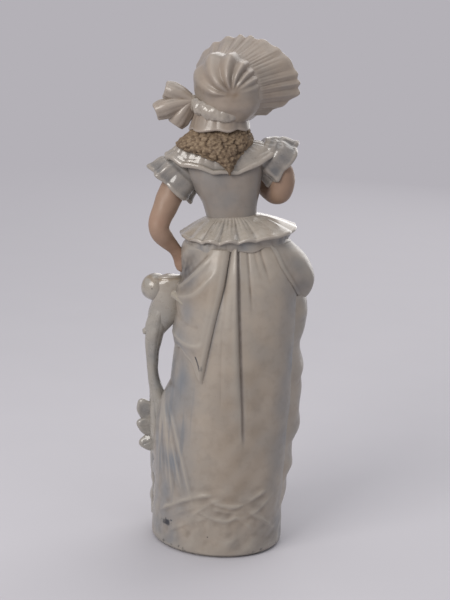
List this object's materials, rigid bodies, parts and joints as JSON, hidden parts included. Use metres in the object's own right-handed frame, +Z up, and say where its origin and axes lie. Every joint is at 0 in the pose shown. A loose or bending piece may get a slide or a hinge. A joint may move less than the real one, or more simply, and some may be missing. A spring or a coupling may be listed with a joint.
{
  "type": "ceramic lady figurine",
  "caption": "Standing ceramic lady in a long draped dress and a pleated bonnet, one hand by a tree stump, on a low round base; a shelf ornament.",
  "frame": {"origin": "middle of the flat underside of the base", "axes": "+Z up, the figure faces -Y, the figure's left side is +X"},
  "size_m": [0.0947, 0.0728, 0.2806],
  "materials": {
    "dress": "satin",
    "bodice": "satin",
    "lustre": "gloss",
    "bonnet": "satin",
    "flesh": "satin",
    "hair": "matte",
    "stump": "gloss"
  },
  "bodies": {
    "root": {"base_mound": "dress", "skirt": "dress", "left_drape": "dress", "right_pannier": "bodice", "right_cascade": "bodice", "hem_flounce": "lustre", "peplum_frill": "lustre", "peplum_band": "bodice", "bodice": "bodice", "collar": "lustre", "left_sleeve": "lustre", "right_sleeve": "lustre", "left_arm": "flesh", "right_arm": "flesh", "head": "flesh", "hair_back": "hair", "hair_front": "hair", "bonnet_crown": "bonnet", "bonnet_brim": "bonnet", "bonnet_curtain": "bonnet", "bonnet_ribbon": "lustre", "bow_knot": "lustre", "bow_loop_upper": "bonnet", "bow_loop_middle": "bonnet", "bow_loop_lower": "bonnet", "stump": "stump", "stump_knob": "stump", "twig_stub": "stump", "ivy_leaf_upper": "stump", "ivy_leaf_middle": "stump", "ivy_leaf_lower": "stump", "left_shoe": "bodice", "right_shoe": "bodice"}
  },
  "joints": []
}
